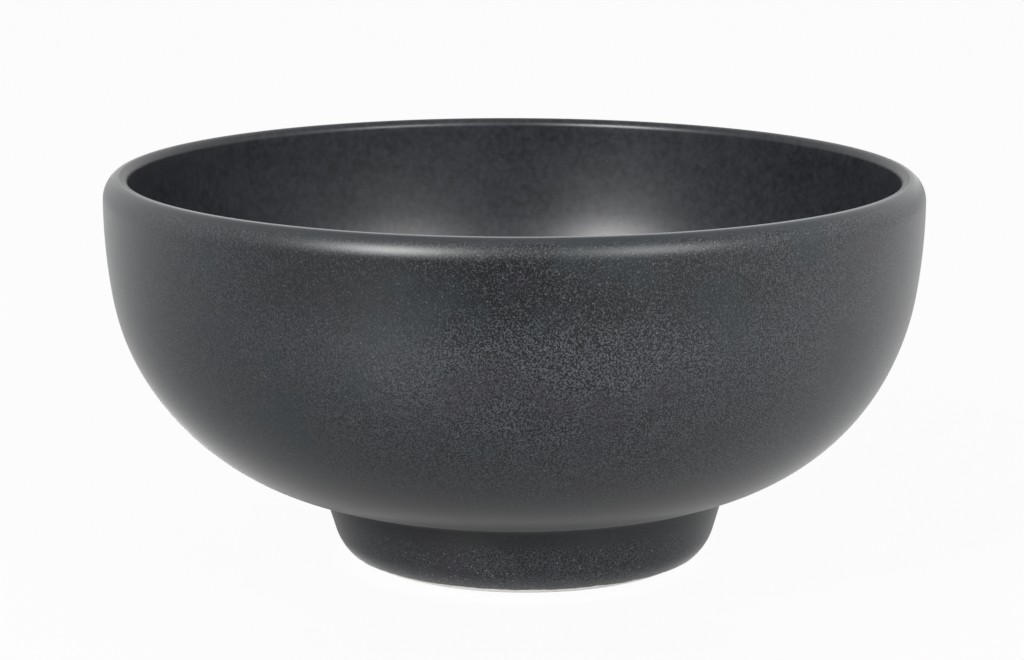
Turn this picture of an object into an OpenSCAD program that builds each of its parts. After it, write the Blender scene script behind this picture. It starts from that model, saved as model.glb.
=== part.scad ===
// A footed stoneware bowl: a thrown basin, a foot ring luted under it with slip, and three coats of glaze.
// The Z axis is the axis of the rim, and z = 0 is the table. Lengths are in millimetres.

/* [Bowl] */
// Widest diameter, over the glaze
bowl_d = 150; // [140:1:175]
// Height from the table to the crown of the rim
bowl_h = 72.3; // [64:0.1:80]
// Height from the table to the bowl's underside, inside the foot
underside_h = 13; // [11.8:0.1:15]

/* [Outside curve] */
// Radius of the long curve that leads down from the rim
wall_curve_r = 105; // [98:1:112]
// How far the long curve leans in where the belly takes over, in degrees
wall_lean = 9.5; // [8:0.25:10.5]

/* [Wall and floor] */
// Thickness of the wall at the rim, over both coats of glaze
wall_t = 4.5; // [4.3:0.1:6]
// Radius of the rim's outer shoulder
shoulder_r = 3.5; // [2.5:0.1:3.6]
// Radius of the long curve inside
inside_curve_r = 100; // [92:1:110]
// Thickness of the floor, over both coats of glaze
floor_t = 6; // [4.5:0.1:8]

/* [Foot] */
// Diameter of the foot at the level of the bowl's underside, over the glaze
foot_d = 74.2; // [70:0.2:78]
// How far the foot leans in towards the table, in degrees
foot_lean = 17; // [10:0.5:20]
// Radius of the foot's rounded outer edge, over the glaze
foot_edge_r = 9.5; // [8:0.1:10.5]
// Width of the foot ring at that level, from its bore to the glaze outside
foot_ring_w = 15.25; // [14.25:0.25:17]
// Radius of the foot ring's inner edge
foot_inner_edge_r = 1.5; // [0.8:0.1:2]
// How far the foot sits to the right of the rim's axis
foot_shift = 2; // [0:0.1:3]

/* [Slip and glaze] */
// Thickness of the slip that joins the foot to the basin
slip_t = 0.5; // [0.3:0.05:0.8]
// Thickness of each coat of glaze
glaze_t = 0.4; // [0.25:0.05:0.6]
// Height of the bare clay above the table
bare_h = 1.6; // [1:0.1:2.5]

/* [Hidden] */

// Facets in a full turn
$fn = 120;
// How far the middle of a facet may lie from the curve that it follows
facet_gap = 0.02;
// How far a cutting shape runs past what it cuts
overrun = 2;

clay_colour = [0.80, 0.76, 0.70];
slip_colour = [0.70, 0.66, 0.60];
liner_colour = [0.16, 0.17, 0.19];
coat_colour = [0.22, 0.23, 0.25];

// The shoulder and the long curve both have their centre level with the end of the shoulder
bowl_r = bowl_d / 2;
crown_r = bowl_r - shoulder_r;
shoulder_z = bowl_h - shoulder_r;
shoulder_centre = [crown_r, shoulder_z];
wall_centre = [bowl_r - wall_curve_r, shoulder_z];

// The belly turns from the end of the long curve down to the underside, so both centres lie on one radius
belly_r = (shoulder_z - underside_h - wall_curve_r * sin(wall_lean)) / (1 - sin(wall_lean));
function on_radius(centre, radius, angle) = centre + radius * [cos(angle), sin(angle)];
belly_centre = on_radius(wall_centre, wall_curve_r - belly_r, -wall_lean);

// The inner lip turns from the crown into the long curve inside, and that into a round hollow
lip_r = wall_t - shoulder_r;
lip_centre = [crown_r, bowl_h - lip_r];
floor_z = underside_h + floor_t;
inside_centre = [crown_r - lip_r - inside_curve_r, lip_centre[1]];
hollow_r = (lip_centre[1] - floor_z - inside_curve_r * sin(wall_lean)) / (1 - sin(wall_lean));
hollow_centre = on_radius(inside_centre, inside_curve_r - hollow_r, -wall_lean);

// The clay and the glaze over it turn about one centre at the foot's outer edge
foot_bore_r = foot_d / 2 - foot_ring_w;
edge_z = foot_edge_r - glaze_t;
edge_drop = underside_h - edge_z + foot_edge_r * sin(foot_lean);
edge_centre = [foot_d / 2 - edge_drop * tan(foot_lean) - foot_edge_r * cos(foot_lean), edge_z];
inner_edge_centre = [foot_bore_r + foot_inner_edge_r, foot_inner_edge_r];
foot_top_z = underside_h + foot_edge_r;

// The number of facets that keeps a curve's turn within facet_gap
function facets(radius, turn) = ceil(turn / (2 * acos(1 - facet_gap / radius)));

shoulder_facets = facets(shoulder_r, 90);
wall_facets = facets(wall_curve_r, wall_lean);
belly_facets = facets(belly_r, 90 - wall_lean);
lip_facets = facets(lip_r, 90);
inside_facets = facets(inside_curve_r, wall_lean);
hollow_facets = facets(hollow_r, 90 - wall_lean);
edge_facets = facets(foot_edge_r, 90 - foot_lean);
inner_edge_facets = facets(foot_inner_edge_r, 90);

// Points along a round stretch, without its last, which is where the next stretch begins
function arc(centre, radius, from, to, count) =
    [for (i = [0 : count - 1]) on_radius(centre, radius, from + (to - from) * i / count)];

function backwards(points) =
    [for (i = [len(points) - 1 : -1 : 0]) points[i]];

// The basin's outer face from the crown to the axis, depth under the glaze
function outer_face(depth) = concat(
    arc(shoulder_centre, shoulder_r - depth, 90, 0, shoulder_facets),
    arc(wall_centre, wall_curve_r - depth, 0, -wall_lean, wall_facets),
    arc(belly_centre, belly_r - depth, -wall_lean, -90, belly_facets),
    [on_radius(belly_centre, belly_r - depth, -90), [0, underside_h + depth]]
);

// The basin's inner face from the axis to the crown, depth under the glaze
function inner_face(depth) = concat(
    [[0, floor_z - depth]],
    arc(hollow_centre, hollow_r + depth, -90, -wall_lean, hollow_facets),
    arc(inside_centre, inside_curve_r + depth, -wall_lean, 0, inside_facets),
    arc(lip_centre, lip_r - depth, 180, 90, lip_facets),
    [on_radius(lip_centre, lip_r - depth, 90)]
);

// The foot's outer face from the angle at which its edge begins up into the basin
function foot_face(edge_r, from) = concat(
    arc(edge_centre, edge_r, from, -foot_lean, edge_facets),
    [foot_side(edge_r, 0), foot_side(edge_r, foot_top_z - foot_side(edge_r, 0)[1])]
);

// A point on the foot's side, at a height above the end of the rounded edge
function foot_side(edge_r, height) =
    on_radius(edge_centre, edge_r, -foot_lean) + height * [tan(foot_lean), 1];

// Everything inside the basin's outer face
module basin_outline(depth) {
    polygon(concat([[0, bowl_h - depth]], outer_face(depth)));
}

// The clay of the wall and floor
module basin_section() {
    inside = inner_face(glaze_t);
    polygon(concat([for (i = [0 : len(inside) - 2]) inside[i]], outer_face(glaze_t)));
}

// The coat inside, which ends at the rim's crown
module liner_section() {
    polygon(concat(inner_face(0), backwards(inner_face(glaze_t))));
}

// Everything inside the foot's outer clay face
module foot_outline() {
    polygon(concat([[0, 0]], foot_face(foot_edge_r - glaze_t, -90), [[0, foot_top_z]]));
}

// The clay of the foot ring, up into the basin
module foot_section() {
    polygon(concat(
        arc(inner_edge_centre, foot_inner_edge_r, 180, 270, inner_edge_facets),
        [[inner_edge_centre[0], 0]],
        foot_face(foot_edge_r - glaze_t, -90),
        [[foot_bore_r, foot_top_z]]
    ));
}

// Everything inside the foot's glaze, down to the bare clay
module coated_foot_outline() {
    polygon(concat(
        [[0, bare_h]],
        foot_face(foot_edge_r, asin((bare_h - edge_z) / foot_edge_r)),
        [[0, foot_top_z]]
    ));
}

// Turns a section about the foot's own axis
module about_foot() {
    translate([foot_shift, 0, 0])
        rotate_extrude()
            children();
}

// The thrown basin, with its wall and floor
module basin() {
    color(clay_colour)
        rotate_extrude()
            basin_section();
}

// The ring that carries the basin, scribed to its underside
module foot_ring() {
    color(clay_colour)
        difference() {
            about_foot()
                foot_section();
            rotate_extrude()
                basin_outline(glaze_t - slip_t);
        }
}

// The slip between the foot ring and the basin
module luting_slip() {
    color(slip_colour)
        difference() {
            intersection() {
                about_foot()
                    foot_section();
                rotate_extrude()
                    basin_outline(glaze_t - slip_t);
            }
            rotate_extrude()
                basin_outline(glaze_t);
        }
}

// The coat inside the bowl
module liner_glaze() {
    color(liner_colour)
        rotate_extrude()
            liner_section();
}

// The coat outside, from the crown of the rim down over the foot to the bare clay
module outer_glaze() {
    color(coat_colour)
        difference() {
            union() {
                rotate_extrude()
                    basin_outline(0);
                about_foot()
                    coated_foot_outline();
            }
            rotate_extrude()
                basin_outline(glaze_t);
            about_foot()
                foot_outline();
            translate([0, 0, shoulder_z])
                cylinder(h = shoulder_r + overrun, r = crown_r);
        }
}

// The coat under the floor and down the bore of the foot ring
module well_glaze() {
    color(coat_colour)
        difference() {
            translate([foot_shift, 0, bare_h])
                cylinder(h = foot_top_z - bare_h, r = foot_bore_r);
            rotate_extrude()
                basin_outline(glaze_t);
            difference() {
                translate([foot_shift, 0, 0])
                    cylinder(h = foot_top_z + overrun, r = foot_bore_r - glaze_t);
                rotate_extrude()
                    basin_outline(0);
            }
        }
}

basin();
foot_ring();
luting_slip();
liner_glaze();
outer_glaze();
well_glaze();
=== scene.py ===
import math

import bpy
from mathutils import Matrix, Vector, noise


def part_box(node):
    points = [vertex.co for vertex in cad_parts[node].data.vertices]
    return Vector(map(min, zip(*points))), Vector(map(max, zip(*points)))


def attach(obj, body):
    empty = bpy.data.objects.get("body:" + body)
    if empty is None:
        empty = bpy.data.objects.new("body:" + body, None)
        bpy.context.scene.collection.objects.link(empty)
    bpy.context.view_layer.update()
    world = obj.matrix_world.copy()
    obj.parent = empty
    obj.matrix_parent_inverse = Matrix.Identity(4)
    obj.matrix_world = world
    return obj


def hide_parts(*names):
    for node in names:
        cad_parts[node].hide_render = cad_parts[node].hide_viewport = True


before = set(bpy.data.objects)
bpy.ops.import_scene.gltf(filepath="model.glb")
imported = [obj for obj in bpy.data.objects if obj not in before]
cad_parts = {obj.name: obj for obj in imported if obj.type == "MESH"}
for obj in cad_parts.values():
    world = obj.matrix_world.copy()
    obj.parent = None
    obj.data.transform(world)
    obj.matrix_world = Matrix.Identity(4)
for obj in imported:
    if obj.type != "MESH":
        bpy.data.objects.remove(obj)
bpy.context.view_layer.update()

mm = 0.001

# The view of the photo: a long lens, a little above the rim, nearly level
view = {
    "place": (0.0, -0.70054, 0.17805),
    "lens": 136.06,
    "sensor": 36,
    "down": 10.929,      # degrees below level
    "turn": 0.031,       # degrees to the left
    "roll": 0.154,       # degrees
}


def addCamera():
    bpy.ops.object.camera_add(location=view["place"])
    camera = bpy.context.object
    camera.name = "photo_camera"
    aim = (
        Matrix.Rotation(math.radians(view["turn"]), 3, "Z")
        @ Matrix.Rotation(math.radians(90 - view["down"]), 3, "X")
        @ Matrix.Rotation(math.radians(view["roll"]), 3, "Z")
    )
    camera.rotation_euler = aim.to_euler()
    camera.data.lens = view["lens"]
    camera.data.sensor_width = view["sensor"]
    bpy.context.scene.camera = camera


addCamera()
print("camera placed")

# Sizes that the pieces share. What the frame gives is read from it.
rimLow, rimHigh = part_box("outer_glaze")
boreLow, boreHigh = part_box("well_glaze")
bowl = {
    "radius": (rimHigh.x - rimLow.x) / 2,
    "top": rimHigh.z,
    "shoulderWide": 3.0 * mm,
    "shoulderDeep": 4.1 * mm,
    "lip": 1.5 * mm,
    "wallCurve": 105 * mm,
    "insideCurve": 100 * mm,
    "lean": math.radians(9.5),
    "under": 13 * mm,
    "floor": 19 * mm,
    "coat": 0.4 * mm,
    "turns": 288,
}
foot = {
    "shift": (boreLow.x + boreHigh.x) / 2,
    "bore": (boreHigh.x - boreLow.x) / 2,
    "radius": 37.1 * mm,
    "lean": math.radians(17),
    "edge": 9.5 * mm,
    "innerEdge": 1.5 * mm,
    "bare": rimLow.z,
}


# A shader's socket, with the arithmetic that the glazes use
class Wire:
    def __init__(self, tree, socket=None):
        self.tree = tree
        self.socket = socket

    def node(self, kind, settings=None, sockets=None, output=0):
        made = self.tree.nodes.new(kind)
        for name, value in (settings or {}).items():
            setattr(made, name, value)
        for name, value in (sockets or {}).items():
            if isinstance(value, Wire):
                self.tree.links.new(value.socket, made.inputs[name])
            else:
                made.inputs[name].default_value = value
        return Wire(self.tree, made.outputs[output])

    def maths(self, operation, first, second):
        return self.node("ShaderNodeMath", {"operation": operation}, {0: first, 1: second})

    def __add__(self, other):
        return self.maths("ADD", self, other)

    def __sub__(self, other):
        return self.maths("SUBTRACT", self, other)

    def __mul__(self, other):
        return self.maths("MULTIPLY", self, other)

    def __rsub__(self, other):
        return self.maths("SUBTRACT", other, self)

    __radd__ = __add__
    __rmul__ = __mul__

    # 0 below low, 1 above high, with a soft step between them
    def rise(self, low, high):
        return self.node("ShaderNodeMapRange", {"interpolation_type": "SMOOTHSTEP"},
                         {"Value": self, "From Min": low, "From Max": high})

    # the X, Y or Z of a vector
    def along(self, axis):
        return self.node("ShaderNodeSeparateXYZ", None, {0: self}, output=axis)

    def cloud(self, place, scale, detail=2.0, roughness=0.5):
        return self.node("ShaderNodeTexNoise", None,
                         {"Vector": place, "Scale": scale, "Detail": detail, "Roughness": roughness})

    # round cells: how far a point lies from a cell's middle, and a number that each cell draws
    def cells(self, place, scale):
        distance = self.node("ShaderNodeTexVoronoi", None, {"Vector": place, "Scale": scale})
        cellColour = Wire(self.tree, distance.socket.node.outputs["Color"])
        return distance, self.node("ShaderNodeSeparateColor", None, {0: cellColour})

    def blend(self, amount, first, second):
        return self.node("ShaderNodeMix", {"data_type": "RGBA"}, {0: amount, 6: first, 7: second}, output=2)

    def bump(self, height, depth):
        return self.node("ShaderNodeBump", None, {"Height": height, "Distance": depth, "Strength": 1.0})


def colour(red, green, blue):
    return (red, green, blue, 1.0)


def newMaterial(name):
    material = bpy.data.materials.new(name)
    material.use_nodes = True
    shader = material.node_tree.nodes["Principled BSDF"]
    return material, shader, Wire(material.node_tree)


def feed(wire, shader, name, value):
    if isinstance(value, Wire):
        wire.tree.links.new(value.socket, shader.inputs[name])
    else:
        shader.inputs[name].default_value = value


# A pair gives where a change begins and where it is full. A mix is a share of the colour laid over another.
outsideFinish = {
    "deep": colour(0.0005, 0.0007, 0.0011),
    "body": colour(0.055, 0.061, 0.069),
    "fleck": colour(0.170, 0.180, 0.192),
    "spark": colour(0.330, 0.350, 0.370),
    "teal": colour(0.012, 0.020, 0.024),
    "violet": colour(0.021, 0.018, 0.026),
    # painted highlight: a lighter colour along the rim's top edge, in front
    "edge": colour(0.075, 0.078, 0.085),
    "grainScale": 3500,
    "grainBand": (0.45, 0.60),
    "shadeGrainShift": (0.05, 0.03),      # painted shade: the band's ends move up under the rim
    "calmTone": 0.28,                # the glaze's tone where it has no grain
    "crownCalm": 0.85,               # how much of the grain each of these takes away
    # painted shade: fewer specks under the belly, over the foot
    "bellyShadeCalm": 0.8,
    # painted shade: fewer specks and a flatter tone towards the left
    "leftShadeCalm": 0.6,
    "fleckScale": 2700,
    "fleckDraw": (0.84, 0.99),       # which cells hold a fleck
    "fleckSize": (0.15, 0.42),
    "fleckMix": 0.42,
    "sparkDraw": (0.91, 0.97),
    "sparkSize": (0.14, 0.36),
    "sparkMix": 0.10,
    "sparkMixOnFoot": 0.80,          # over and above sparkMix
    "patchScale": 60,
    "tealBand": (0.50, 0.72),
    "tealMix": 0.5,
    "violetBand": (0.30, 0.48),
    "violetMix": 0.4,
    # painted shade under the rim in front
    "underShadeMix": 0.45,
    # painted light, paler towards the right
    "rightLightMix": 0.10,
    "roughness": 0.35,
    "grainRoughness": 0.12,
    "streakRoughness": 0.05,
    "edgeGloss": 0.15,
    "ior": 1.5,
    "sheen": 0.32,
    "sheenRoughness": 0.27,
    "grainDepth": 0.0085 * mm,
    "fleckRelief": 0.6,              # of the grain's depth
    # distances below the rim's top
    "crown": (1.5 * mm, 0.4 * mm),
    # the line of the painted highlight at the rim's edge, in front
    "edgeHighlightLine": (0.12 * mm, 0.02 * mm),
    "streak": (5 * mm, 2 * mm),
    # the band of painted shade under the rim
    "underRimShade": (20 * mm, 9 * mm),
    # heights over the table
    # the painted shade under the belly, down onto the foot
    "bellyShadeStart": (9.2 * mm, 11.4 * mm),
    "bellyShadeEnd": (17 * mm, 31 * mm),
    "footEnd": (8.5 * mm, 11 * mm),
    # distances from the rim's axis
    "front": (10 * mm, 60 * mm),
    # where the painted shade on the left gives way
    "sideShadeSpecks": (-50 * mm, 20 * mm),
    # where the painted light on the right begins and where it is full
    "pale": (10 * mm, 60 * mm),
    "middleSquared": (0.0006, 0.0030),       # the squares of two such distances
}


def outsideGlaze():
    finish = outsideFinish
    material, shader, wire = newMaterial("outside_glaze_specked")
    place = wire.node("ShaderNodeTexCoord", output="Object")
    across, depth, height = place.along("X"), place.along("Y"), place.along("Z")

    def belowTop(zone):
        start, full = finish[zone]
        return height.rise(bowl["top"] - start, bowl["top"] - full)

    # the specks thin out over the rim's crown; as painted shade they also thin out, with a flatter tone,
    # towards the left and under the belly down onto the foot
    crown = belowTop("crown")
    # painted shade: the mask named pool thins the specks under the belly and on the foot's upper side
    pool = height.rise(*finish["bellyShadeStart"]) * (1 - height.rise(*finish["bellyShadeEnd"]))
    # painted shade: fewer specks towards the left
    sideShadeSpecks = 1 - finish["leftShadeCalm"] + across.rise(*finish["sideShadeSpecks"]) * finish["leftShadeCalm"]
    specked = (1 - crown * finish["crownCalm"]) * (1 - pool * finish["bellyShadeCalm"]) * sideShadeSpecks
    grain = wire.cloud(place, finish["grainScale"], detail=1.0, roughness=0.6)
    patch = wire.cloud(place, finish["patchScale"])
    cells, chance = wire.cells(place, finish["fleckScale"])
    fleck = chance.rise(*finish["fleckDraw"]) * (1 - cells.rise(*finish["fleckSize"])) * specked

    # painted shade: the coat is darker under the rim in the middle of the front; painted light: it is paler
    # towards the right
    front = (0 - depth).rise(*finish["front"])
    middle = 1 - (across * across).rise(*finish["middleSquared"])
    under = belowTop("underRimShade") * (1 - crown) * middle * front
    low = finish["grainBand"][0] + under * finish["shadeGrainShift"][0]
    high = finish["grainBand"][1] + under * finish["shadeGrainShift"][1]
    light = grain.rise(low, high) * specked + (1 - specked) * finish["calmTone"]
    # painted light: paler towards the right
    light = light + across.rise(*finish["pale"]) * finish["rightLightMix"]
    body = wire.blend(light, finish["deep"], finish["body"])
    # painted shade: darker under the rim in front
    body = wire.blend(under * finish["underShadeMix"], body, finish["deep"])
    teal = patch.rise(*finish["tealBand"]) * finish["tealMix"]
    violet = (1 - patch.rise(*finish["violetBand"])) * finish["violetMix"]
    body = wire.blend(teal, body, finish["teal"])
    body = wire.blend(violet, body, finish["violet"])
    body = wire.blend(fleck * finish["fleckMix"], body, finish["fleck"])

    # a few pale pinpoints, most of them on the foot
    onFoot = 1 - height.rise(*finish["footEnd"])
    spark = chance.rise(*finish["sparkDraw"]) * (1 - cells.rise(*finish["sparkSize"])) * (1 - crown)
    sparkMix = finish["sparkMix"] + onFoot * finish["sparkMixOnFoot"]
    body = wire.blend(spark * sparkMix, body, finish["spark"])
    # painted highlight: a lighter colour along the rim's edge in front, where the glaze is also glossier
    edge = belowTop("edgeHighlightLine") * front
    feed(wire, shader, "Base Color", wire.blend(edge, body, finish["edge"]))

    rough = finish["roughness"] + (grain - 0.5) * finish["grainRoughness"] * specked
    rough = rough + belowTop("streak") * finish["streakRoughness"]
    feed(wire, shader, "Roughness", rough - edge * finish["edgeGloss"])
    relief = grain * specked + fleck * finish["fleckRelief"]
    feed(wire, shader, "Normal", wire.bump(relief, finish["grainDepth"]))
    feed(wire, shader, "IOR", finish["ior"])
    feed(wire, shader, "Sheen Weight", finish["sheen"])
    feed(wire, shader, "Sheen Roughness", finish["sheenRoughness"])
    return material


insideFinish = {
    "deep": colour(0.0035, 0.0042, 0.0055),
    "body": colour(0.0185, 0.0200, 0.0245),
    "fleck": colour(0.11, 0.115, 0.125),
    # painted highlight along the rim's inner edge, in front
    "edge": colour(0.075, 0.078, 0.085),
    "grainScale": 900,
    "grainBand": (0.3, 0.7),
    "grainMix": 0.45,
    "mottleScale": 420,
    "mottleBand": (0.35, 0.65),
    "mottleMix": 0.25,
    "patchScale": 45,
    "patchBand": (0.3, 0.7),
    "patchMix": 0.2,
    "fleckScale": 700,
    "fleckDraw": (0.93, 0.99),
    "fleckSize": (0.1, 0.3),
    "fleckMix": 0.12,
    "roughness": 0.37,
    "patchRoughness": 0.08,
    "mottleRoughness": 0.04,
    "edgeGloss": 0.12,
    "ior": 1.5,
    "grainDepth": 0.004 * mm,
    "edgeHighlightLine": (0.4 * mm, 0.05 * mm),       # below the rim's top; the line of the painted highlight
    "front": (10 * mm, 60 * mm),             # from the rim's axis
}


def insideGlaze():
    finish = insideFinish
    material, shader, wire = newMaterial("inside_glaze_smooth")
    place = wire.node("ShaderNodeTexCoord", output="Object")
    grain = wire.cloud(place, finish["grainScale"])
    mottle = wire.cloud(place, finish["mottleScale"], detail=3.0, roughness=0.6)
    patch = wire.cloud(place, finish["patchScale"])
    cells, chance = wire.cells(place, finish["fleckScale"])
    fleck = chance.rise(*finish["fleckDraw"]) * (1 - cells.rise(*finish["fleckSize"]))
    light = grain.rise(*finish["grainBand"]) * finish["grainMix"]
    light = light + mottle.rise(*finish["mottleBand"]) * finish["mottleMix"]
    light = light + patch.rise(*finish["patchBand"]) * finish["patchMix"]
    body = wire.blend(light, finish["deep"], finish["body"])
    body = wire.blend(fleck * finish["fleckMix"], body, finish["fleck"])
    # painted highlight: a lighter colour along the rim's inner edge in front, where the glaze is also
    # glossier
    start, full = finish["edgeHighlightLine"]
    front = (0 - place.along("Y")).rise(*finish["front"])
    edge = place.along("Z").rise(bowl["top"] - start, bowl["top"] - full) * front
    feed(wire, shader, "Base Color", wire.blend(edge, body, finish["edge"]))
    rough = finish["roughness"] + (patch - 0.5) * finish["patchRoughness"]
    rough = rough + (mottle - 0.5) * finish["mottleRoughness"]
    feed(wire, shader, "Roughness", rough - edge * finish["edgeGloss"])
    feed(wire, shader, "Normal", wire.bump(grain, finish["grainDepth"]))
    feed(wire, shader, "IOR", finish["ior"])
    return material


clayFinish = {
    "pale": colour(0.91, 0.90, 0.87),
    "warm": colour(0.80, 0.775, 0.73),
    "grit": colour(0.22, 0.19, 0.16),
    "patchScale": 160,
    "patchBand": (0.35, 0.75),
    "warmMix": 0.5,
    "gritScale": 900,
    "gritDraw": (0.90, 0.98),
    "gritSize": (0.12, 0.35),
    "gritMix": 0.7,
    "sandScale": 2400,
    "sandDepth": 0.03 * mm,
    "roughness": 0.86,
    "sandRoughness": 0.12,
}


def bareClay(name):
    finish = clayFinish
    material, shader, wire = newMaterial(name)
    place = wire.node("ShaderNodeTexCoord", output="Object")
    patch = wire.cloud(place, finish["patchScale"], detail=3.0)
    sand = wire.cloud(place, finish["sandScale"], roughness=0.6)
    cells, chance = wire.cells(place, finish["gritScale"])
    grit = chance.rise(*finish["gritDraw"]) * (1 - cells.rise(*finish["gritSize"]))
    body = wire.blend(patch.rise(*finish["patchBand"]) * finish["warmMix"], finish["pale"], finish["warm"])
    feed(wire, shader, "Base Color", wire.blend(grit * finish["gritMix"], body, finish["grit"]))
    feed(wire, shader, "Roughness", finish["roughness"] + (sand - 0.5) * finish["sandRoughness"])
    feed(wire, shader, "Normal", wire.bump(sand, finish["sandDepth"]))
    return material


outsideCoat = outsideGlaze()
insideCoat = insideGlaze()
clay = bareClay("clay_bare")
slipClay = bareClay("slip_bare")
print("materials mixed")


# Draws a section in the XZ plane from one vertex, by extruding and spinning its free end
class Section:
    weld = 0.002 * mm

    def __init__(self, name, radius, height):
        bpy.ops.object.select_all(action="DESELECT")
        bpy.ops.mesh.primitive_plane_add(size=mm, location=(radius, 0, height))
        self.piece = bpy.context.object
        self.piece.name = name
        self.piece.data.name = name
        bpy.ops.object.transform_apply(location=True)
        bpy.ops.object.mode_set(mode="EDIT")
        bpy.ops.mesh.select_mode(type="VERT")
        bpy.ops.mesh.merge(type="CENTER")
        self.end = Vector((radius, height))

    def line(self, radius, height, count=1):
        step = (Vector((radius, height)) - self.end) / count
        for _ in range(count):
            bpy.ops.mesh.extrude_region_move(TRANSFORM_OT_translate={"value": (step.x, 0, step.y)})
        self.end = Vector((radius, height))

    # turns the free end about a centre, by an angle that is positive from +X towards +Z
    def turn(self, centre, angle, count):
        bpy.ops.mesh.spin(steps=count, angle=angle, center=(centre.x, 0, centre.y), axis=(0, 1, 0))
        arm = self.end - centre
        self.end = centre + Vector((arm.x * math.cos(angle) - arm.y * math.sin(angle),
                                    arm.x * math.sin(angle) + arm.y * math.cos(angle)))

    # turns the closed section into a solid about a vertical axis
    def revolve(self, count):
        bpy.ops.mesh.select_all(action="SELECT")
        bpy.ops.mesh.remove_doubles(threshold=self.weld)
        bpy.ops.mesh.select_all(action="SELECT")
        bpy.ops.mesh.spin(steps=count, angle=math.tau, center=(0, 0, 0), axis=(0, 0, 1))
        bpy.ops.mesh.select_all(action="SELECT")
        bpy.ops.mesh.remove_doubles(threshold=self.weld)
        bpy.ops.mesh.normals_make_consistent(inside=False)
        bpy.ops.object.mode_set(mode="OBJECT")
        return self.piece


def onCircle(centre, radius, angle):
    return centre + radius * Vector((math.cos(angle), math.sin(angle)))


def angleOf(centre, point):
    arm = point - centre
    return math.atan2(arm.y, arm.x)


# From 0 at none of a length to 1 at all of it, slow at both ends
def ease(amount):
    amount = min(max(amount, 0), 1)
    return amount * amount * (3 - 2 * amount)


eighth = math.pi / 4
quarter = math.pi / 2

# The shoulder: a tight curve over the crown and a wider one below it
crownRadius = bowl["radius"] - bowl["shoulderWide"]
half = math.sin(eighth)
tipCurve = (half * bowl["shoulderWide"] - (1 - half) * bowl["shoulderDeep"]) / (2 * half - 1)
shoulderCurve = (half * bowl["shoulderDeep"] - (1 - half) * bowl["shoulderWide"]) / (2 * half - 1)
tipCentre = Vector((crownRadius, bowl["top"] - tipCurve))
shoulderCentre = Vector((bowl["radius"] - shoulderCurve, bowl["top"] - bowl["shoulderDeep"]))

# The wall's long curve and the belly, whose centres lie on one radius
wallCentre = Vector((bowl["radius"] - bowl["wallCurve"], shoulderCentre.y))
leanSine = math.sin(bowl["lean"])
bellyRadius = (shoulderCentre.y - bowl["under"] - bowl["wallCurve"] * leanSine) / (1 - leanSine)
bellyCentre = onCircle(wallCentre, bowl["wallCurve"] - bellyRadius, -bowl["lean"])

# The lip, the long curve inside and the round hollow
lipCentre = Vector((crownRadius, bowl["top"] - bowl["lip"]))
insideCentre = Vector((crownRadius - bowl["lip"] - bowl["insideCurve"], lipCentre.y))
hollowRadius = (lipCentre.y - bowl["floor"] - bowl["insideCurve"] * leanSine) / (1 - leanSine)
hollowCentre = onCircle(insideCentre, bowl["insideCurve"] - hollowRadius, -bowl["lean"])

# The foot's side and its rounded edge
footSide = Vector((math.sin(foot["lean"]), math.cos(foot["lean"])))
footOut = Vector((math.cos(foot["lean"]), -math.sin(foot["lean"])))
footTop = Vector((foot["radius"], bowl["under"]))
edgeCentreZ = foot["edge"] - bowl["coat"]
edgeDrop = bowl["under"] - edgeCentreZ + foot["edge"] * math.sin(foot["lean"])
edgeCentre = Vector((
    foot["radius"] - edgeDrop * math.tan(foot["lean"]) - foot["edge"] * math.cos(foot["lean"]),
    edgeCentreZ,
))


# The centre of a round fillet that touches the belly and the foot's side
def filletCentre(bellyR, sideStart, size):
    start = sideStart + size * footOut - bellyCentre
    side = start.dot(footSide)
    rest = start.length_squared - (bellyR + size) ** 2
    return bellyCentre + start + (-side - math.sqrt(side * side - rest)) * footSide


def moveToFootAxis(piece):
    for vertex in piece.data.vertices:
        vertex.co.x += foot["shift"]


sharpAngle = math.radians(40)


def finishPiece(piece, material, *replaced, slot):
    bpy.ops.object.select_all(action="DESELECT")
    bpy.context.view_layer.objects.active = piece
    piece.select_set(True)
    bpy.ops.object.shade_smooth_by_angle(angle=sharpAngle)
    piece.data.materials.clear()
    piece.data.materials.append(material)
    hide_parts(*replaced)
    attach(piece, "root")
    print(piece.name, len(piece.data.polygons), "faces")


outerCoat = {
    "tipSteps": 12,
    "shoulderSteps": 16,
    "wallSteps": 14,
    "bellySteps": 52,
    "filletSteps": 9,
    "sideSteps": 5,
    "edgeSteps": 16,
    "beadSteps": 5,
    "clayShoulderSteps": 8,
    "clayTipSteps": 6,
    "fillet": 1.6 * mm,
    "clayFillet": 0.4 * mm,
    # how the foot's rings slide over the belly, measured out from the belly's centre
    "joint": 10.5 * mm,
    "settled": 18 * mm,
    "jointLift": 2 * mm,             # over the underside, up to where a ring counts as the foot's
    "levelStart": 7 * mm,
    "levelReach": 6 * mm,
    # how the belly drifts after the foot
    "drift": 0.5 * mm,
    "driftStart": 45 * mm,
    "driftReach": 27 * mm,
    # how the glaze's lower edge wanders, in degrees
    "wander": 2.4,
    "raised": 3.8,
    "lowerInFront": 2.4,
    "frontPower": 4,
    "wideWaves": 9,
    "fineWaves": 31,
    "fineShare": 0.4,
}


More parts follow.
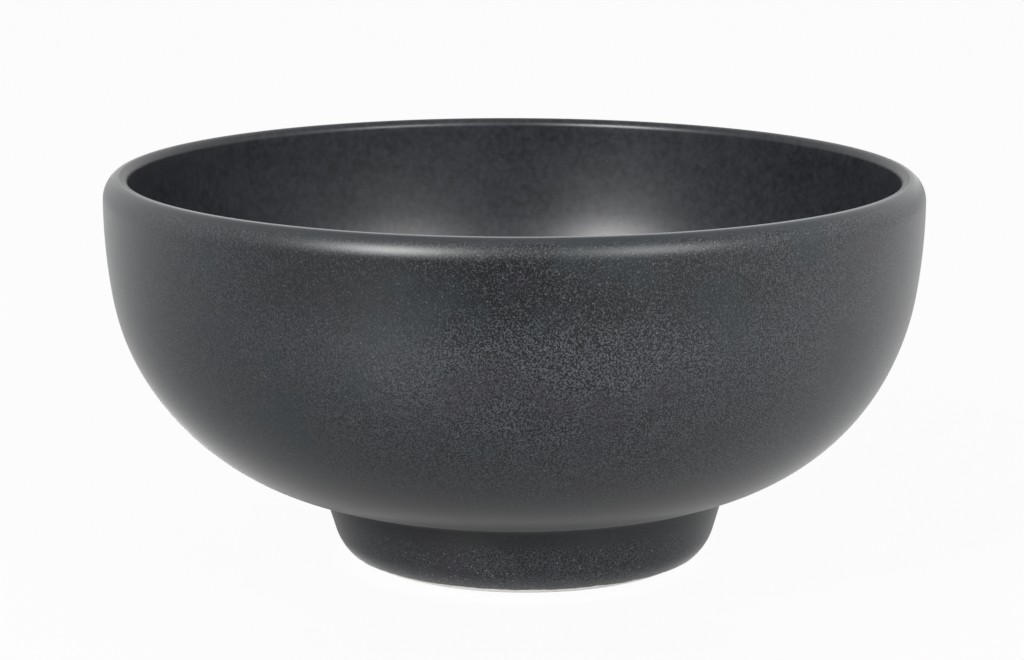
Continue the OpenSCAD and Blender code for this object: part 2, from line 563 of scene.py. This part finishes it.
# The foot sits to the right of the rim's axis: its rings slide over the belly to their place
def slideFoot(piece):
    settled = bellyCentre.x + outerCoat["settled"]
    joint = bellyCentre.x + outerCoat["joint"]

    def bellyZ(radius):
        reach = max(radius - bellyCentre.x, 0)
        return bellyCentre.y - math.sqrt(bellyRadius ** 2 - reach ** 2)

    for vertex in piece.data.vertices:
        place = vertex.co
        radius = math.hypot(place.x, place.y)
        if place.z > outerCoat["driftStart"]:
            continue
        drift = outerCoat["drift"] * ease((outerCoat["driftStart"] - place.z) / outerCoat["driftReach"])
        near = ease((settled - radius) / (settled - joint))
        if near == 0:
            place.x += drift
            continue
        move = drift + (foot["shift"] - drift) * near
        start = max(radius, joint) if place.z < bowl["under"] + outerCoat["jointLift"] else radius
        scale = start / radius if radius else 0
        end = math.hypot(place.x * scale + move - drift, place.y * scale)
        level = min(max((place.z - outerCoat["levelStart"]) / outerCoat["levelReach"], 0), 1)
        place.x += move
        place.z += (bellyZ(end) - bellyZ(start)) * level


# The glaze's lower edge wanders a little round the foot
def wanderEdge(piece):
    first = -foot["lean"]
    last = math.asin((foot["bare"] - edgeCentre.y) / foot["edge"])
    clayFace = foot["edge"] - bowl["coat"]
    for vertex in piece.data.vertices:
        place = vertex.co
        radius = math.hypot(place.x, place.y)
        arm = Vector((radius, place.z)) - edgeCentre
        if place.z > edgeCentre.y or arm.length < clayFace - bowl["coat"] / 2:
            continue
        angle = math.atan2(arm.y, arm.x)
        progress = min(max((angle - first) / (last - first), 0), 1)
        around = Vector((place.x, place.y, 0)).normalized()
        wide = noise.noise(around * outerCoat["wideWaves"])
        fine = noise.noise(around * outerCoat["fineWaves"])
        front = max(-around.y, 0)
        wave = wide * (1 - outerCoat["fineShare"]) + fine * outerCoat["fineShare"]
        turned = outerCoat["wander"] * wave + outerCoat["raised"]
        turned -= outerCoat["lowerInFront"] * front ** outerCoat["frontPower"]
        angle += math.radians(turned) * progress ** 2
        place.z = edgeCentre.y + arm.length * math.sin(angle)
        stretch = (edgeCentre.x + arm.length * math.cos(angle)) / radius
        place.x *= stretch
        place.y *= stretch


def makeOuterCoat():
    sizes = outerCoat
    coat = bowl["coat"]
    section = Section("outer_coat", crownRadius, bowl["top"])
    section.turn(tipCentre, -eighth, sizes["tipSteps"])
    section.turn(shoulderCentre, -eighth, sizes["shoulderSteps"])
    section.turn(wallCentre, -bowl["lean"], sizes["wallSteps"])
    pool = filletCentre(bellyRadius, footTop, sizes["fillet"])
    bellyEnd = angleOf(bellyCentre, pool)
    section.turn(bellyCentre, bellyEnd + bowl["lean"], sizes["bellySteps"])
    sideStart = pool - sizes["fillet"] * footOut
    poolTurn = angleOf(pool, sideStart) % math.tau - angleOf(pool, section.end) % math.tau
    section.turn(pool, poolTurn, sizes["filletSteps"])
    edgeStart = onCircle(edgeCentre, foot["edge"], -foot["lean"])
    section.line(edgeStart.x, edgeStart.y, sizes["sideSteps"])
    edgeEnd = math.asin((foot["bare"] - edgeCentre.y) / foot["edge"])
    section.turn(edgeCentre, edgeEnd + foot["lean"], sizes["edgeSteps"])
    # the glaze ends in a round bead
    bead = onCircle(edgeCentre, foot["edge"] - coat / 2, edgeEnd)
    section.turn(bead, -math.pi, sizes["beadSteps"])
    # and goes back along the clay
    section.turn(edgeCentre, -(edgeEnd + foot["lean"]), sizes["edgeSteps"])
    clayTop = footTop - coat * footOut
    clayPool = filletCentre(bellyRadius - coat, clayTop, sizes["clayFillet"])
    clayStart = clayPool - sizes["clayFillet"] * footOut
    section.line(clayStart.x, clayStart.y, sizes["sideSteps"])
    clayEnd = onCircle(bellyCentre, bellyRadius - coat, angleOf(bellyCentre, clayPool))
    section.line(clayEnd.x, clayEnd.y)
    section.turn(bellyCentre, -bowl["lean"] - angleOf(bellyCentre, clayEnd), sizes["bellySteps"])
    section.turn(wallCentre, bowl["lean"], sizes["wallSteps"])
    section.turn(shoulderCentre, eighth, sizes["clayShoulderSteps"])
    section.turn(tipCentre, eighth, sizes["clayTipSteps"])
    section.line(crownRadius, bowl["top"])
    piece = section.revolve(bowl["turns"])
    wanderEdge(piece)
    slideFoot(piece)
    finishPiece(piece, outsideCoat, "outer_glaze", slot="outside_glaze")


liner = {
    "lipSteps": 14,
    "clayLipSteps": 10,
    "wallSteps": 14,
    "hollowSteps": 52,
    "floorSteps": 12,
}


def makeLiner():
    sizes = liner
    claySide = bowl["floor"] - bowl["coat"]
    section = Section("liner_coat", crownRadius, bowl["top"])
    section.turn(lipCentre, quarter, sizes["lipSteps"])
    section.turn(insideCentre, -bowl["lean"], sizes["wallSteps"])
    section.turn(hollowCentre, -(quarter - bowl["lean"]), sizes["hollowSteps"])
    section.line(0, bowl["floor"], sizes["floorSteps"])
    section.line(0, claySide)
    section.line(hollowCentre.x, claySide, sizes["floorSteps"])
    section.turn(hollowCentre, quarter - bowl["lean"], sizes["hollowSteps"])
    section.turn(insideCentre, bowl["lean"], sizes["wallSteps"])
    section.turn(lipCentre, -quarter, sizes["clayLipSteps"])
    section.line(crownRadius, bowl["top"])
    piece = section.revolve(bowl["turns"])
    finishPiece(piece, insideCoat, "liner_glaze", slot="inside_glaze")


wellCoat = {
    "pool": 0.9 * mm,        # the round where the glaze pools in the corner
    "poolSteps": 8,
    "roofSteps": 14,
    "boreSteps": 10,
    "beadSteps": 5,
    "turns": 144,
}


def makeWellCoat():
    sizes = wellCoat
    pool = sizes["pool"]
    coat = bowl["coat"]
    wall = foot["bore"] - coat
    section = Section("well_coat", 0, bowl["under"])
    section.line(wall - pool, bowl["under"], sizes["roofSteps"])
    section.turn(Vector((wall - pool, bowl["under"] - pool)), -quarter, sizes["poolSteps"])
    section.line(wall, foot["bare"], sizes["boreSteps"])
    section.turn(Vector((wall + coat / 2, foot["bare"])), math.pi, sizes["beadSteps"])
    section.line(foot["bore"], bowl["under"] + coat, sizes["boreSteps"])
    section.line(0, bowl["under"] + coat, sizes["roofSteps"])
    section.line(0, bowl["under"])
    piece = section.revolve(sizes["turns"])
    moveToFootAxis(piece)
    finishPiece(piece, outsideCoat, "well_glaze", slot="outside_glaze")


footClay = {
    "innerEdgeSteps": 8,
    "faceSteps": 4,
    "edgeSteps": 18,
    "boreSteps": 5,
    "rise": 0.1 * mm,        # how far the clay reaches into the slip
    "turns": 216,
}


def makeFootClay():
    sizes = footClay
    inner = foot["innerEdge"]
    section = Section("foot_clay", foot["bore"], inner)
    section.turn(Vector((foot["bore"] + inner, inner)), quarter, sizes["innerEdgeSteps"])
    section.line(edgeCentre.x, 0, sizes["faceSteps"])
    section.turn(edgeCentre, quarter - foot["lean"], sizes["edgeSteps"])
    top = bowl["under"] + sizes["rise"]
    sideEnd = section.end.x + (top - section.end.y) * math.tan(foot["lean"])
    section.line(sideEnd, top, sizes["faceSteps"])
    section.line(foot["bore"], top, sizes["faceSteps"])
    section.line(foot["bore"], inner, sizes["boreSteps"])
    piece = section.revolve(sizes["turns"])
    moveToFootAxis(piece)
    finishPiece(piece, clay, "foot_ring", slot="clay")


makeOuterCoat()
makeLiner()
makeWellCoat()
makeFootClay()

for name, material in (("basin", clay), ("luting_slip", slipClay)):
    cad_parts[name].data.materials.clear()
    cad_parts[name].data.materials.append(material)
print("pieces made")

# A pair of places gives where a change begins and where it is full
stage = {
    "floorSize": 8.0,
    "floorColour": colour(0.29, 0.29, 0.29),
    "floorFront": colour(0.10, 0.10, 0.10),      # out of the camera's sight
    "floorLitNear": colour(0.75, 0.75, 0.75),       # painted light: paler paper round the foot, which lights the bare clay
    "floorGap": 0.02 * mm,   # keeps the paper clear of the foot's face
    "floorRoughness": 0.42,
    "toothScale": 700,
    "toothRoughness": 0.1,
    "frontEnds": (-0.36, -0.14),
    "backBegins": (-0.15, 0.35),
    "rightBegins": (-0.04, 0.20),
    "nearEnds": (32 * mm, 38 * mm),              # from the foot's axis
    "coveredEnds": (27.6 * mm, 28.4 * mm),       # from the foot's axis
    "plainWhite": 0.95,      # how much of the floor's look comes from plain white
    "backLevel": 1.0,
    "frontLevel": 0.10,
    "rightLevel": 1.1,
    "leftLevel": 0.45,
    "topLevel": 0.55,
    # parts of the surroundings, as a share of the direction's length
    "backShare": (-0.35, 0.60),
    "topShare": (0.40, 0.85),
    "rightShare": (-0.20, 0.80),
    "leftShare": (-0.90, -0.30),
    "aim": (0, 0, 45 * mm),
    "lamps": {
        "left_softbox": {"turn": -35, "lift": 31, "distance": 1.2, "size": (0.34, 0.42), "power": 18.5},
        "right_softbox": {"turn": 39, "lift": 31, "distance": 1.2, "size": (0.50, 0.42), "power": 8.2},
    },
}


# How much of the white background a ray sees: all of it from the camera,
# and from gloss or glass what lies behind the bowl
def seenWhite(wire, behind):
    camera = wire.node("ShaderNodeLightPath", output="Is Camera Ray")
    gloss = wire.node("ShaderNodeLightPath", output="Is Glossy Ray")
    through = wire.node("ShaderNodeLightPath", output="Is Transmission Ray")
    return camera + (1 - camera) * (gloss + through).rise(0, 1) * behind


def makeFloor():
    bpy.ops.object.select_all(action="DESELECT")
    bpy.ops.mesh.primitive_plane_add(size=stage["floorSize"], location=(0, 0, -stage["floorGap"]))
    floor = bpy.context.object
    floor.name = "studio_floor"
    material, shader, wire = newMaterial("studio_floor_paper")
    place = wire.node("ShaderNodeTexCoord", output="Object")
    depth, side = place.along("Y"), place.along("X")
    fromFoot = wire.node("ShaderNodeVectorMath", {"operation": "DISTANCE"},
                         {0: place, 1: (foot["shift"], 0, 0)}, output="Value")
    paper = wire.blend(depth.rise(*stage["frontEnds"]), stage["floorFront"], stage["floorColour"])
    # painted light: the paper is paler round the foot
    paper = wire.blend(fromFoot.rise(*stage["nearEnds"]), stage["floorLitNear"], paper)
    feed(wire, shader, "Base Color", paper)
    tooth = wire.cloud(place, stage["toothScale"])
    feed(wire, shader, "Roughness", stage["floorRoughness"] + (tooth - 0.5) * stage["toothRoughness"])
    behind = depth.rise(*stage["backBegins"])
    behind = behind + (1 - behind) * side.rise(*stage["rightBegins"])
    glow = wire.node("ShaderNodeEmission", None, {"Color": colour(1, 1, 1), "Strength": 1.0})
    lit = Wire(wire.tree, shader.outputs[0])
    mixed = wire.node("ShaderNodeMixShader", None,
                      {0: seenWhite(wire, behind) * stage["plainWhite"], 1: lit, 2: glow})
    # clear from beneath and where the foot covers it, so that a view from below shows the foot
    beneath = wire.node("ShaderNodeNewGeometry", output="Backfacing")
    covered = 1 - fromFoot.rise(*stage["coveredEnds"])
    clear = wire.node("ShaderNodeBsdfTransparent")
    mixed = wire.node("ShaderNodeMixShader", None, {0: (beneath + covered).rise(0, 1), 1: mixed, 2: clear})
    feed(wire, wire.tree.nodes["Material Output"], "Surface", mixed)
    floor.data.materials.append(material)


def makeWorld():
    world = bpy.data.worlds.new("studio_white")
    bpy.context.scene.world = world
    world.use_nodes = True
    wire = Wire(world.node_tree)
    direction = wire.node("ShaderNodeTexCoord", output="Generated")
    sideways = direction.along("X")
    upward = direction.along("Z").rise(*stage["topShare"])
    behind = direction.along("Y").rise(*stage["backShare"]) * (1 - upward)
    right = sideways.rise(*stage["rightShare"])
    left = 1 - sideways.rise(*stage["leftShare"])
    level = stage["frontLevel"] + (stage["rightLevel"] - stage["frontLevel"]) * right
    level = level + (stage["leftLevel"] - stage["frontLevel"]) * left
    level = level * (1 - upward) + stage["topLevel"] * upward
    level = level * (1 - behind) + stage["backLevel"] * behind
    white = seenWhite(wire, behind)
    strength = white + (1 - white) * level
    background = world.node_tree.nodes["Background"]
    background.inputs["Color"].default_value = colour(1, 1, 1)
    feed(wire, background, "Strength", strength)


def makeLamps():
    for name, lamp in stage["lamps"].items():
        turn, lift = math.radians(lamp["turn"]), math.radians(lamp["lift"])
        away = Vector((math.sin(turn) * math.cos(lift), -math.cos(turn) * math.cos(lift), math.sin(lift)))
        bpy.ops.object.light_add(type="AREA", location=Vector(stage["aim"]) + away * lamp["distance"])
        light = bpy.context.object
        light.name = name
        light.rotation_euler = away.to_track_quat("Z", "Y").to_euler()
        light.data.shape = "RECTANGLE"
        light.data.size, light.data.size_y = lamp["size"]
        light.data.energy = lamp["power"]


makeFloor()
makeWorld()
makeLamps()
bpy.context.scene.view_settings.view_transform = "Standard"
print("stage lit")
